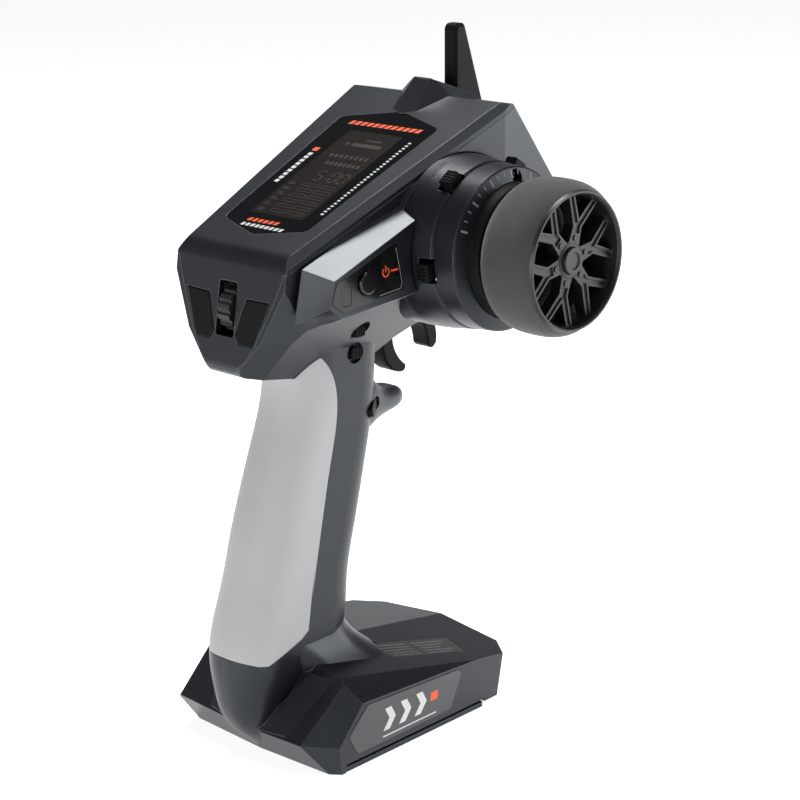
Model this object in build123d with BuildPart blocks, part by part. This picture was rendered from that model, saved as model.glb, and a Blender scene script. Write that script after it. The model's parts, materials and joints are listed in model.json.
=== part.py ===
"""Pistol-grip surface radio transmitter: battery base, grip, head with display,
steering wheel on the right, trigger under the head, folding antenna on top.

Frame: +Z up, +Y away from the user, +X the user's right; origin on the centre
of the base's resting face.  All sizes are millimetres.
"""
from build123d import *
from math import atan, cos, degrees, radians, sin
import os

# ---------------------------------------------------------------- driving sizes
WALL = 2.4                  # casing wall
GRIP_WALL = 3.6             # casing wall in the grip, deep enough for the pad's recess
PAD_DEPTH = 1.7             # thickness of the rubber grip pad
GAP = 0.15                  # visible gap at a parting line

HEAD_SLOPE = 0.43           # rise of the display face towards the front
HEAD_TOP_Z = 229.2          # height of the display face over the origin
HEAD_TILT = degrees(atan(HEAD_SLOPE))

HUB_Y, HUB_Z = 28.2, 200.9  # steering axis, parallel to X
HUB_R = 32.5                # steering housing radius at its outer end
HUB_X = 55.3                # outer end of the steering housing
HOUSING_X = 38.4            # where the steering housing bolts to the right shell
HOUSING_R = 34.4            # its radius there
FAIRING_X0 = 33.0           # depth at which the side fairings start
FAIRING_X1 = 46.0           # outer face of the right fairing
LEFT_FAIRING_X1 = 41.5      # outer face of the left fairing
LEFT_FAIRING_SHIFT = 9.0    # the left fairing starts this much further forward
RING_X = 65.3               # outer edge of the control ring

TYRE_R = 30.0               # foam tyre outer radius
TYRE_X0, TYRE_X1 = 73.0, 98.6
RIM_R = 26.3                # wheel rim lip radius

# The grip and the keel under it: z, rear y, front y, half width, corner radius.
GRIP_SECTIONS = [
    (1.2, -51.8, -22.0, 4.5, 4.2),
    (8.0, -58.6, -22.0, 7.5, 7.0),
    (18.0, -66.3, -21.0, 11.5, 11.0),
    (30.0, -68.8, -17.0, 15.0, 14.0),
    (46.4, -68.6, -10.4, 17.4, 15.5),
    (68.0, -61.9, -6.9, 17.2, 15.5),
    (88.5, -55.8, -1.5, 17.0, 15.5),
    (109.0, -48.6, 3.9, 17.0, 15.5),
    (125.0, -42.4, 7.9, 17.0, 15.5),
    (144.0, -36.2, 11.0, 17.0, 15.5),
    (158.0, -36.0, 12.0, 17.2, 15.5),
    (172.0, -38.0, 14.0, 18.0, 15.5),
]
# The flared skirt where the grip meets the top of the base.
SKIRT_SECTIONS = [
    (24.0, -40.0, 15.0, 33.0, 16.0),
    (33.0, -41.0, 3.0, 25.0, 15.0),
    (42.0, -50.0, -6.5, 19.0, 14.5),
    (58.0, -60.0, -10.6, 15.6, 14.0),
]
# Soft wing down the rear of the base, from its top edge to the foot of the keel: (x, y) at z.
WING_TOP = (35.4, [(35.0, -38.2), (20.5, -41.2), (16.0, -30.0), (30.0, -30.0)])
WING_FOOT = (14.0, [(27.0, -56.0), (8.0, -60.2), (7.0, -48.0), (24.0, -48.0)])

# Side outline of the head, (y, z), before its side facets are cut.  Its first two corners,
# at the rear, are rounded by the radii that follow.
HEAD_SIDE = [
    (-54.9, 205.6), (-63.0, 159.4), (-46.0, 155.6), (-30.0, 152.0), (4.0, 148.0), (9.5, 154.0), (15.0, 160.0),
    (22.7, 164.7), (33.0, 167.8), (54.0, 170.0), (72.0, 188.0), (83.6, 217.0),
    (85.0, 222.3), (81.5, 226.8), (61.0, 250.0), (52.0, 251.56),
]
HEAD_REAR_RADII = [9.0, 5.0]
HEAD_INSIDE = (0.0, 0.0, 195.0)
# Right-hand facets of the head, three points each; the left hand mirrors them.
HEAD_FACETS = [
    ((31.0, -48.7, 200.0), (42.6, 52.0, 200.0), (31.0, -48.7, 230.0)),
    ((42.6, 52.0, 200.0), (40.6, 85.0, 200.0), (42.6, 52.0, 230.0)),
    ((28.4, -48.7, 208.3), (40.0, 52.0, 251.6), (31.0, -48.7, 205.2)),
    ((38.4, 61.0, 250.0), (34.6, 81.5, 226.8), (41.4, 61.0, 246.8)),
    ((30.3, -57.0, 196.0), (19.6, -60.6, 173.0), (34.0, -45.0, 181.5)),
    ((34.0, -45.0, 181.5), (34.0, 10.0, 181.5), (17.4, -30.0, 162.5)),
    ((18.4, -61.0, 172.5), (8.4, -62.6, 161.0), (21.0, -46.0, 160.5)),
]

# Base: three points for each face.  The left half mirrors the right, except at its rear
# corner, which is cut back much less.
BASE_TOP = 42.0
BASE_INSIDE = (0.0, 0.0, 12.0)
BASE_FACETS = [
    ((41.8, 0.0, 0.0), (41.8, 10.0, 0.0), (45.2, 0.0, 28.0)),
    ((45.2, -36.0, 28.3), (45.2, 47.0, 22.9), (36.0, -38.0, 35.6)),
    ((0.0, 2.4, 33.4), (0.0, 56.5, 24.6), (33.0, 56.3, 21.4)),
    ((0.0, 48.0, 0.0), (10.0, 48.0, 0.0), (0.0, 56.4, 22.0)),
    ((45.0, 47.0, 22.9), (33.0, 56.3, 21.8), (41.8, 45.8, 0.0)),
    ((0.0, -58.9, 12.5), (31.0, -57.7, 13.0), (37.0, -38.8, 35.2)),
    ((0.0, -58.9, 12.5), (31.0, -57.7, 13.0), (0.0, -50.8, 0.0)),
]
REAR_CORNER_FACETS = {
    1: [((37.5, -38.9, 35.0), (31.0, -57.7, 13.0), (43.0, -48.5, 12.5)),
        ((31.0, -57.7, 13.0), (43.0, -48.5, 12.5), (41.8, -45.8, 0.0))],
    -1: [((38.6, -38.9, 34.0), (41.4, -57.6, 12.0), (43.2, -54.0, 12.0)),
         ((41.4, -57.6, 12.0), (43.2, -54.0, 12.0), (41.0, -45.4, 0.0))],
}


# Side keys above the grip: y, z and the depth in X of the casing's surface there.
SIDE_KEYS = {"button_e": (-12.0, 169.8, 23.6), "button_f": (-8.3, 159.2, 17.4)}
SIDE_POCKET_R, SIDE_POCKET_DEPTH = 4.3, 2.4
SIDE_BOSS_X = 11.0          # where the bosses behind them end


# ---------------------------------------------------------------- shape helpers
def facet(points, side, inset, inside):
    """Cut the open part with the plane through three points, moved inward by inset."""
    first, second, third = [Vector(side * p[0], p[1], p[2]) for p in points]
    outward = (second - first).cross(third - first).normalized()
    if outward.dot(Vector(*inside) - first) > 0:
        outward = -outward
    cut = Plane(origin=first - outward * inset, z_dir=outward)
    split(bisect_by=cut, keep=Keep.BOTTOM)


def section_loft(sections, inset, ruled=False):
    """Loft through rounded rectangles given as z, rear y, front y, half width, radius."""
    with BuildPart() as body:
        for z, rear, front, half, radius in sections:
            centre = ((rear + front) / 2, z)
            with BuildSketch(Plane(origin=(0, centre[0], centre[1]))):
                RectangleRounded(2 * (half - inset), front - rear - 2 * inset, radius - inset)
        loft(ruled=ruled)
    return body.part


def head_block(inset):
    with BuildPart() as block:
        with BuildSketch(Plane.YZ) as outline:
            with BuildLine():
                Polyline(*HEAD_SIDE, close=True)
            make_face()
            if inset:
                offset(amount=-inset, kind=Kind.INTERSECTION)
            else:
                for corner, radius in zip(HEAD_SIDE, HEAD_REAR_RADII):
                    fillet(outline.vertices().sort_by_distance((*corner, 0))[0], radius)
        extrude(amount=50, both=True)
        for side in (1, -1):
            for points in HEAD_FACETS:
                facet(points, side, inset, HEAD_INSIDE)
    return block.part


def base_block(inset):
    with BuildPart() as block:
        with BuildSketch(Plane.XY.offset(inset)):
            with Locations((0, -1)):
                Rectangle(100, 122)
        extrude(amount=BASE_TOP)
        for side in (1, -1):
            for points in BASE_FACETS + REAR_CORNER_FACETS[side]:
                facet(points, side, inset, BASE_INSIDE)
    return block.part


def wing(side):
    """Four-sided rib between two level outlines on the rear of the base."""
    with BuildPart() as rib:
        for z, outline in (WING_FOOT, WING_TOP):
            with BuildSketch(Plane.XY.offset(z)):
                with BuildLine():
                    Polyline(*[(side * x, y) for x, y in outline], close=True)
                make_face()
        loft(ruled=True)
    return rib.part


def fairing(side, rise, shift, inset=0.0):
    """Raised block on the side of the head; it carries the power panel on the right."""
    root = [(-55.0, 182.5), (-50.5, 202.5), (6.0, 222.0), (14.0, 182.0), (-38.0, 179.5)]
    face = [(-49.4, 189.5), (-46.6, 199.2), (-1.0, 215.8), (-3.0, 187.0), (-43.4, 184.8)]
    with BuildPart() as block:
        for x, outline in ((FAIRING_X0 - 4 * inset, root), (rise - inset, face)):
            with BuildSketch(Plane.YZ.offset(side * x)):
                with BuildLine():
                    Polyline(*[(y + shift, z) for y, z in outline], close=True)
                make_face()
                if inset:
                    offset(amount=-inset, kind=Kind.INTERSECTION)
        loft(ruled=True)
    return block.part


def finger_rest():
    """Tapered spur in front of the grip, under the trigger."""
    stations = [(-4.0, 134.0, 30.0, 30.0), (8.0, 134.5, 27.0, 26.0), (15.0, 132.2, 22.0, 13.4),
                (24.0, 131.0, 16.5, 9.4), (31.6, 130.4, 8.0, 5.0)]
    with BuildPart() as spur:
        for y, z, width, height in stations:
            with BuildSketch(Plane(origin=(0, y, z), x_dir=(1, 0, 0), z_dir=(0, 1, 0))):
                RectangleRounded(width, height, 0.46 * height)
        loft()
    return spur.part


def rod(centre, radius, x0, x1, bore=0.0):
    """Solid of revolution parallel to X, from x0 to x1, through centre (y, z)."""
    with BuildPart() as piece:
        with BuildSketch(Plane.YZ.offset(x0)):
            with Locations(centre):
                Circle(radius)
                if bore:
                    Circle(bore, mode=Mode.SUBTRACT)
        extrude(amount=x1 - x0)
    return piece.part


def slab(plane, outline, low, high, radius=0.0):
    """Flat plate with a polygon outline, between two heights over its plane."""
    with BuildPart() as piece:
        with BuildSketch(plane.offset(low)) as profile:
            with BuildLine():
                Polyline(*outline, close=True)
            make_face()
            if radius:
                fillet(profile.vertices(), radius)
        extrude(amount=high - low)
    return piece.part


def block(plane, centre, size, radius=0.0):
    """Box centred in its plane's own axes, with rounded corners on request."""
    with BuildPart() as piece:
        with BuildSketch(plane.offset(centre[2] - size[2] / 2)):
            with Locations(centre[:2]):
                if radius:
                    RectangleRounded(size[0], size[1], radius)
                else:
                    Rectangle(size[0], size[1])
        extrude(amount=size[2])
    return piece.part


def mirrored(outline):
    """Close a half outline given from top to bottom on the right of the middle line."""
    return outline + [(-x, y) for x, y in reversed(outline) if x]


def finish(part, name):
    """Label a finished piece and write it as its own node."""
    part.label = name
    export_step(part, f"parts/{name}.step")


os.makedirs("parts", exist_ok=True)

TOP = Plane(origin=(0, 0, HEAD_TOP_Z), x_dir=(1, 0, 0),
            z_dir=(0, -sin(radians(HEAD_TILT)), cos(radians(HEAD_TILT))))
REAR = Plane(origin=(0, -59.4, 179.3), x_dir=(1, 0, 0), z_dir=(0, -0.9848, 0.1736))
SIDE = Plane.YZ


# ---------------------------------------------------------------- the casing as one block
with BuildPart() as outer:
    add(head_block(0))
    add(section_loft(GRIP_SECTIONS, 0))
    add(section_loft(SKIRT_SECTIONS, 0))
    add(base_block(0))
    add(wing(1))
    add(wing(-1))
    add(fairing(1, FAIRING_X1, 0.0))
    add(fairing(-1, LEFT_FAIRING_X1, LEFT_FAIRING_SHIFT))
    add(finger_rest())
    add(rod((HUB_Y, HUB_Z), HOUSING_R, 22.0, HOUSING_X))

with BuildPart() as cavity:
    add(head_block(WALL))
    add(section_loft(GRIP_SECTIONS[1:], GRIP_WALL))
    add(base_block(WALL))
    add(fairing(1, FAIRING_X1, 0.0, WALL))
    add(fairing(-1, LEFT_FAIRING_X1, LEFT_FAIRING_SHIFT, WALL))
    add(rod((HUB_Y, HUB_Z), HOUSING_R - WALL, 20.0, HOUSING_X + 5))
    # Solid bosses behind the two side keys.
    for y, z, _ in SIDE_KEYS.values():
        add(rod((y, z), SIDE_POCKET_R + WALL, SIDE_BOSS_X, 40.0), mode=Mode.SUBTRACT)

# ---------------------------------------------------------------- head cover
# Its outline on the rear of the head, from the parting line's top to its rounded foot.
REAR_OUTLINE = [(29.6, 27.5), (28.6, 20.0), (24.4, 9.0), (17.2, -6.5), (12.6, -13.5), (6.5, -18.2)]
COVER_DEPTH = 4.4           # depth of the cover's rim below the display face
WINDOW = [(0.0, 42.2), (26.6, 33.9), (22.6, -41.0), (0.0, -47.9)]
WINDOW_RADIUS = 3.6


def cover_region(grow):
    """Space of the head cover: a slab under the display face and a tongue down the rear."""
    with BuildPart() as region:
        add(slab(TOP, [(-70, -90), (70, -90), (70, 66.5 + grow), (-70, 66.5 + grow)],
                 -COVER_DEPTH - grow, 20.0))
        tongue = [(x + grow, y) for x, y in REAR_OUTLINE[:-1]]
        tongue += [(REAR_OUTLINE[-1][0] + grow, REAR_OUTLINE[-1][1] - grow)]
        add(slab(REAR, mirrored(tongue), -COVER_DEPTH - grow, 14.0))
    return region.part


def rear_button_outline(side):
    """Five-cornered key beside the roller, in the rear plane's axes."""
    outline = [(10.4, 9.9), (22.6, 10.2), (15.6, -7.4), (8.2, -7.6), (5.9, -3.8)]
    return [(side * x, y) for x, y in outline]


def grown(plane, outline, low, high, grow, radius=0.0):
    """Plate whose outline stands off the given one by grow, its corners rounded on request."""
    with BuildPart() as piece:
        with BuildSketch(plane.offset(low)) as profile:
            with BuildLine():
                Polyline(*outline, close=True)
            make_face()
            if grow:
                offset(amount=grow, kind=Kind.INTERSECTION)
            if radius:
                fillet(profile.vertices(), radius)
        extrude(amount=high - low)
    return piece.part


ROLLER_Y, ROLLER_Z, ROLLER_R = -51.7, 183.2, 9.0
ROLLER_HALF = 3.2
with BuildPart() as head_cover:
    add(head_block(0))
    add(cover_region(0.0), mode=Mode.INTERSECT)
    add(head_block(WALL), mode=Mode.SUBTRACT)
    add(grown(TOP, mirrored(WINDOW), -9.0, 5.0, -3.0), mode=Mode.SUBTRACT)
    add(grown(TOP, mirrored(WINDOW), -1.6, 5.0, 0.15, WINDOW_RADIUS), mode=Mode.SUBTRACT)
    add(block(REAR, (0, 4.9, 0), (10.2, 21.0, 20.0), 1.2), mode=Mode.SUBTRACT)
    add(rod((HUB_Y, HUB_Z), HOUSING_R + GAP, HOUSING_X - GAP, 60.0), mode=Mode.SUBTRACT)
    for side in (1, -1):
        add(grown(REAR, rear_button_outline(side), -8.0, 5.0, 0.25), mode=Mode.SUBTRACT)
finish(head_cover.part, "head_cover")

# ---------------------------------------------------------------- openings in the shells
ANTENNA_Y, ANTENNA_Z, KNUCKLE_R = 75.0, 241.6, 6.0
# Casing screws, driven from the left: y, z and the half width of the casing there.
SCREWS = [(60.0, 222.0, 41.4), (-10.0, 128.0, 17.0), (-13.0, 100.0, 17.0), (-20.0, 64.0, 17.1)]
STATUS_YZ = (-40.6, 192.6)  # small status window behind the power button
ROLLER_BORE = 1.5
GRIP_KEY = Plane(origin=(14.6, 3.6, 133.9), x_dir=(-0.45, 0.8, 0.4), z_dir=(0.83, 0.52, 0.1))
LABEL = [(12.0, -3.0), (27.5, -2.0), (36.0, 34.0), (22.0, 38.0)]


def badge_plate(side, low, high):
    """Plate in the recess on a side face of the base, between two heights over the face."""
    foot, _, ridge = BASE_FACETS[0]
    lean = (ridge[0] - foot[0]) / ridge[2]
    face = Plane(origin=(foot[0], 0, 0), x_dir=(0, 1, 0), z_dir=(1, 0, -lean))
    plate = slab(face, BADGE, low, high, 1.5)
    return plate if side > 0 else mirror(plate, about=Plane.YZ)


def label_plate(low, high):
    """Thin plate on the sloping top of the base, on its right half."""
    first, second, third = [Vector(*p) for p in BASE_FACETS[2]]
    normal = (third - first).cross(second - first).normalized()
    if normal.Z < 0:
        normal = -normal
    roof = Plane(origin=first, x_dir=(1, 0, 0), z_dir=normal)
    corners = [roof.to_local_coords(Vector(x, y, 30.0)) for x, y in LABEL]
    return slab(roof, [(corner.X, corner.Y) for corner in corners], low, high)


TRIGGER_Y, TRIGGER_Z = 35.0, 179.0
TRIGGER_SLOT = [(5.0, 186.0), (5.0, 150.5), (13.0, 147.0), (60.0, 147.0), (60.0, 186.0)]
POWER_PANEL = [(-48.2, 191.2), (-45.6, 197.9), (-14.0, 208.4), (-10.3, 192.6), (-10.7, 189.3),
               (-42.8, 186.9)]
POWER_Y, POWER_Z = -30.1, 195.8
BADGE = [(-43.6, 15.9), (-37.9, 6.6), (16.0, 7.0), (21.0, 21.4), (19.0, 24.0), (-34.0, 27.0)]
TRAY_Y0, TRAY_Y1 = -43.4, 38.0

with BuildPart() as casing:
    add(outer.part)
    add(cavity.part, mode=Mode.SUBTRACT)
    add(cover_region(GAP), mode=Mode.SUBTRACT)
    add(slab(SIDE, TRIGGER_SLOT, -8.4, 8.4), mode=Mode.SUBTRACT)
    # The bottom is open for the tray; a groove runs along both sides above it.
    add(slab(SIDE, [(TRAY_Y0 - 0.2, -1), (70, -1), (70, 2.4), (TRAY_Y0 - 0.2, 2.4)], -60, 60),
        mode=Mode.SUBTRACT)
    add(slab(SIDE, [(TRAY_Y0 - 0.2, -1), (TRAY_Y1, -1), (TRAY_Y1, 3.8), (TRAY_Y0 - 0.2, 3.8)],
             -60, 60), mode=Mode.SUBTRACT)
    add(rod((ANTENNA_Y, ANTENNA_Z), KNUCKLE_R + 0.5, -4.1, 4.1), mode=Mode.SUBTRACT)
    # Power panel, its button's shaft, and the badge recesses.
    add(slab(SIDE, POWER_PANEL, FAIRING_X1 - 1.2, FAIRING_X1 + 5), mode=Mode.SUBTRACT)
    add(rod((POWER_Y, POWER_Z), 3.2, 30.0, 60.0), mode=Mode.SUBTRACT)
    add(rod((HUB_Y, HUB_Z), HOUSING_R + GAP, HOUSING_X - GAP, 60.0), mode=Mode.SUBTRACT)
    for y, z, surface in SIDE_KEYS.values():
        add(rod((y, z), SIDE_POCKET_R, surface - SIDE_POCKET_DEPTH, 40.0), mode=Mode.SUBTRACT)
        add(rod((y, z), 3.0, SIDE_BOSS_X - 1.0, 40.0), mode=Mode.SUBTRACT)
    with BuildSketch(GRIP_KEY.offset(-6.0)):
        SlotOverall(10.5, 5.3)
    extrude(amount=12.0, mode=Mode.SUBTRACT)

# ---------------------------------------------------------------- grip pad
# Side outline of the pad: front edge from the arch under the head down to its foot.
GRIP_MID_Z = 105.0
PAD_EDGE = [(-36.5, 166.3), (-30.0, 164.0), (-25.0, 159.6), (-20.8, 153.0), (-18.7, 144.0),
            (-19.4, 133.0), (-23.1, 117.8), (-28.8, 93.9), (-35.3, 67.6), (-38.6, 52.0)]
PAD_FOOT = [(-42.4, 49.4), (-55.0, 45.0), (-59.2, 43.0), (-62.5, 43.4), (-76.0, 48.0),
            (-76.0, 156.0), (-50.0, 156.0), (-43.0, 163.5)]


def pad_region(gap):
    """Space behind the pad's front edge, widened all round by gap."""
    edge = [(y + gap, z) for y, z in PAD_EDGE]
    foot = [(y - gap, z + (gap if z > GRIP_MID_Z else -gap)) for y, z in PAD_FOOT]
    with BuildPart() as region:
        with BuildSketch(SIDE.offset(-30)):
            with BuildLine():
                Spline(*edge, tangents=[(0.8, 0.3), (-0.2, -1)])
                Polyline(edge[-1], *foot, edge[0])
            make_face()
        extrude(amount=60)
    return region.part


with BuildPart() as pad_skin:
    add(section_loft(GRIP_SECTIONS, 0))
    add(section_loft(GRIP_SECTIONS, PAD_DEPTH), mode=Mode.SUBTRACT)

with BuildPart() as pad_recess:
    add(pad_skin.part)
    add(pad_region(0.12), mode=Mode.INTERSECT)
    add(head_block(0), mode=Mode.SUBTRACT)

with BuildPart() as grip_pad:
    add(pad_recess.part)
    add(pad_region(0.0), mode=Mode.INTERSECT)
    add(head_block(-GAP), mode=Mode.SUBTRACT)
finish(grip_pad.part, "grip_pad")

for side, name in ((1, "right_shell"), (-1, "left_shell")):
    with BuildPart() as shell:
        add(casing.part)
        add(pad_recess.part, mode=Mode.SUBTRACT)
        seam = Plane(origin=(side * GAP / 2, 0, 0), z_dir=(side, 0, 0))
        split(bisect_by=seam, keep=Keep.TOP)
        add(badge_plate(side, -1.0, 4.0), mode=Mode.SUBTRACT)
        for y, z, half in SCREWS:
            inner, outer_end = sorted((side * GAP / 2, side * (half - 1.5)))
            add(rod((y, z), 3.2, inner, outer_end))
            add(rod((y, z), 1.25, -60.0, 9.0), mode=Mode.SUBTRACT)
            add(rod((y, z), 2.7, -60.0, 2.95 - half), mode=Mode.SUBTRACT)
        if side > 0:
            add(label_plate(-0.3, 3.0), mode=Mode.SUBTRACT)
    finish(shell.part, name)
    finish(badge_plate(side, -0.95, 0.25), name.replace("shell", "badge_panel"))
finish(label_plate(-0.28, -0.05), "spec_label")

# ---------------------------------------------------------------- display, keys, roller
with BuildPart() as display_lens:
    add(grown(TOP, mirrored(WINDOW), -1.55, -0.25, 0.0, WINDOW_RADIUS))
finish(display_lens.part, "display_lens")
finish(block(TOP, (0, -1.0, -4.6), (40.0, 62.0, 3.6), 2.0), "lcd_module")
finish(block(TOP, (0, 2.0, -10.2), (54.0, 80.0, 1.6), 2.0), "main_board")

for side, name in ((1, "clear_button"), (-1, "back_button")):
    with BuildPart() as rear_key:
        with BuildSketch(REAR.offset(-2.0)) as key_face:
            with BuildLine():
                Polyline(*rear_button_outline(side), close=True)
            make_face()
        extrude(amount=2.5)
        chamfer(rear_key.edges().filter_by(lambda e: REAR.to_local_coords(e.center()).Z > 0.45), 0.4)
        with Locations(REAR.location * Pos(side * 13.5, 1.0, -3.4)):
            Cylinder(2.0, 2.8)
    finish(rear_key.part, name)

# The roller turns in a small carriage that is pushed in to select.
with BuildPart() as roller:
    with BuildSketch(SIDE.offset(-ROLLER_HALF)):
        with Locations((ROLLER_Y, ROLLER_Z)):
            Circle(ROLLER_R)
            with PolarLocations(ROLLER_R + 0.25, 14):
                Circle(1.05, mode=Mode.SUBTRACT)
            Circle(ROLLER_BORE, mode=Mode.SUBTRACT)
    extrude(amount=2 * ROLLER_HALF)
finish(roller.part, "roller")
finish(rod((ROLLER_Y, ROLLER_Z), ROLLER_BORE - 0.05, -7.6, 7.6), "roller_axle")
with BuildPart() as carriage:
    for x in (-6.6, 4.6):
        with BuildSketch(SIDE.offset(x)):
            with Locations((ROLLER_Y + 4.5, ROLLER_Z)):
                Rectangle(16.0, 8.0)
            with Locations((ROLLER_Y, ROLLER_Z)):
                Circle(ROLLER_BORE - 0.05, mode=Mode.SUBTRACT)
        extrude(amount=2.0)
    with BuildSketch(SIDE.offset(-6.6)):
        with Locations((ROLLER_Y + 11.5, ROLLER_Z)):
            Rectangle(2.0, 8.0)
    extrude(amount=13.2)
finish(carriage.part, "roller_carriage")
finish(block(REAR, (0, 9.0, -24.0), (34.0, 16.0, 1.6), 1.0), "key_board")

# ---------------------------------------------------------------- power panel and side keys
with BuildPart() as power_panel:
    add(slab(SIDE, POWER_PANEL, FAIRING_X1 - 1.15, FAIRING_X1 + 0.15, 0.8))
    add(rod((POWER_Y, POWER_Z), 4.7, 40.0, 50.0), mode=Mode.SUBTRACT)
    add(block(SIDE, (*STATUS_YZ, FAIRING_X1), (5.0, 7.4, 6.0), 0.8), mode=Mode.SUBTRACT)
finish(power_panel.part, "power_panel")
finish(block(SIDE, (*STATUS_YZ, FAIRING_X1 - 0.55), (4.8, 7.2, 1.2), 0.75), "status_window")
with BuildPart() as power_button:
    add(rod((POWER_Y, POWER_Z), 4.45, FAIRING_X1 - 0.2, FAIRING_X1 + 1.5))
    fillet(power_button.edges().group_by(Axis.X)[-1], 0.7)
    add(rod((POWER_Y, POWER_Z), 3.0, 36.0, FAIRING_X1 - 0.2))
finish(power_button.part, "power_button")

for name, (y, z, surface) in SIDE_KEYS.items():
    with BuildPart() as side_key:
        add(rod((y, z), 2.85, surface - 6.0, surface - 1.0))
        with BuildSketch(SIDE.offset(surface - 1.0)):
            with Locations((y, z)):
                RectangleRounded(5.0, 4.6, 1.4)
        extrude(amount=1.4)
        with BuildSketch(SIDE.offset(surface + 0.4)):
            with Locations((y, z)):
                with GridLocations(1.25, 0, 4, 1):
                    Rectangle(0.6, 4.0)
        extrude(amount=0.45)
    finish(side_key.part, name)
with BuildPart() as button_g:
    with BuildSketch(GRIP_KEY.offset(-2.0)):
        SlotOverall(10.0, 4.8)
    extrude(amount=2.7)
    fillet(button_g.edges().filter_by(lambda e: GRIP_KEY.to_local_coords(e.center()).Z > 0.6), 0.5)
finish(button_g.part, "button_g")

# ---------------------------------------------------------------- steering housing
def polar(angle, radius):
    """Point on a circle about the steering axis, as (y, z)."""
    return (HUB_Y + radius * cos(radians(angle)), HUB_Z + radius * sin(radians(angle)))


TRIM_ANGLES = {"trim_lever_front": 57.0, "trim_lever_top": 124.0, "trim_lever_rear": 188.0}
TRIM_X, TRIM_LONG, TRIM_WIDE = 52.2, 5.6, 6.0
TRIM_R0, TRIM_R1 = 26.4, 35.9   # inner and outer radius of a trim lever
TRIM_PIVOT_R = 25.0
TRIM_SLOT = 10.0            # length of a trim lever's slot around the housing
TRIM_PIN_X0, TRIM_PIN_X1 = 47.8, 55.2
RING_R0, RING_R1 = 32.3, 31.6
NECK_R = 26.2
RING_SCREW = polar(84.0, 28.0)
BEARING_R, SHAFT_R = 7.0, 4.0


def stepped(profile, bore=0.0):
    """Solid of revolution about the steering axis from an (x, radius) profile."""
    with BuildPart() as turned:
        with BuildSketch(Plane(origin=(0, HUB_Y, HUB_Z), x_dir=(1, 0, 0), z_dir=(0, -1, 0))):
            with BuildLine():
                Polyline(*profile, close=True)
            make_face()
        revolve(axis=Axis((0, HUB_Y, HUB_Z), (1, 0, 0)))
        if bore:
            add(rod((HUB_Y, HUB_Z), bore, -5, 120), mode=Mode.SUBTRACT)
    return turned.part


def radial_plane(angle):
    """Plane through the steering axis, its own x along X and its own y pointing outward."""
    outward = (0, cos(radians(angle)), sin(radians(angle)))
    normal = Vector(1, 0, 0).cross(Vector(*outward))
    return Plane(origin=(0, HUB_Y, HUB_Z), x_dir=(1, 0, 0), z_dir=normal)


with BuildPart() as steering_housing:
    add(stepped([(HOUSING_X, HOUSING_R), (44.0, 34.0), (HUB_X - 1.0, HUB_R + 0.2), (HUB_X, HUB_R - 0.8),
                 (HUB_X, BEARING_R), (46.0, BEARING_R), (46.0, BEARING_R + 3),
                 (52.5, BEARING_R + 3), (52.5, HUB_R - 2.6), (HOUSING_X, HOUSING_R - WALL)]))
    for angle in TRIM_ANGLES.values():
        with BuildSketch(radial_plane(angle).offset(-TRIM_SLOT / 2)):
            with Locations((TRIM_X, 33.0)):
                Rectangle(TRIM_LONG + 0.9, 22.4)
        extrude(amount=TRIM_SLOT, mode=Mode.SUBTRACT)
        add(rod(polar(angle, TRIM_PIVOT_R), 1.0, TRIM_X, HUB_X + 2), mode=Mode.SUBTRACT)
finish(steering_housing.part, "steering_housing")

with BuildPart() as control_ring:
    add(stepped([(HUB_X + GAP, HUB_R - 1.2), (HUB_X + 0.9, RING_R0), (RING_X - 0.5, RING_R1 + 0.2),
                 (RING_X, RING_R1 - 0.4), (RING_X + 1.8, NECK_R + 0.25), (RING_X - 1.6, NECK_R + 0.25),
                 (RING_X - 2.2, RING_R1 - 2.4), (HUB_X + 2.4, RING_R1 - 2.4),
                 (HUB_X + 2.4, BEARING_R + 2.0), (HUB_X + GAP, BEARING_R + 2.0)]))
    add(rod(RING_SCREW, 2.9, RING_X - 4.0, RING_X + 5), mode=Mode.SUBTRACT)
finish(control_ring.part, "control_ring")
with BuildPart() as ring_screw:
    add(rod(RING_SCREW, 1.7, RING_X - 3.4, RING_X - 1.2))
    add(rod(RING_SCREW, 1.0, RING_X - 7.0, RING_X - 3.4))
    with BuildSketch(SIDE.offset(RING_X - 2.2)):
        with Locations(RING_SCREW):
            Rectangle(2.4, 0.6)
            Rectangle(0.6, 2.4)
    extrude(amount=1.0, mode=Mode.SUBTRACT)
finish(ring_screw.part, "ring_screw")
finish(stepped([(HUB_X + 2.6, NECK_R - 3.0), (HUB_X + 2.6, NECK_R), (71.6, NECK_R), (72.2, NECK_R - 0.6),
                (72.2, 9.4), (69.8, 9.4), (69.8, NECK_R - 3.0)]), "wheel_collar")

for name, angle in TRIM_ANGLES.items():
    with BuildPart() as trim:
        with BuildSketch(radial_plane(angle).offset(-TRIM_WIDE / 2)):
            with Locations((TRIM_X, (TRIM_R0 + TRIM_R1) / 2)):
                RectangleRounded(TRIM_LONG, TRIM_R1 - TRIM_R0, 1.1)
        extrude(amount=TRIM_WIDE)
        with BuildSketch(radial_plane(angle).offset(-2.0)):
            with Locations((TRIM_X, 27.0)):
                Rectangle(4.4, 8.0)
        extrude(amount=4.0)
        add(rod(polar(angle, TRIM_PIVOT_R), 1.05, TRIM_X - 6, TRIM_X + 6), mode=Mode.SUBTRACT)
        with Locations(radial_plane(angle).location):
            with Locations(*[Pos(TRIM_X, TRIM_R1, (i - 1.5) * 1.4) for i in range(4)]):
                Box(TRIM_LONG + 2, 1.1, 0.6, mode=Mode.SUBTRACT)
    finish(trim.part, name)
with BuildPart() as trim_pins:
    for angle in TRIM_ANGLES.values():
        add(rod(polar(angle, TRIM_PIVOT_R), 1.0, TRIM_PIN_X0, TRIM_PIN_X1))
finish(trim_pins.part, "trim_pins")

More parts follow.
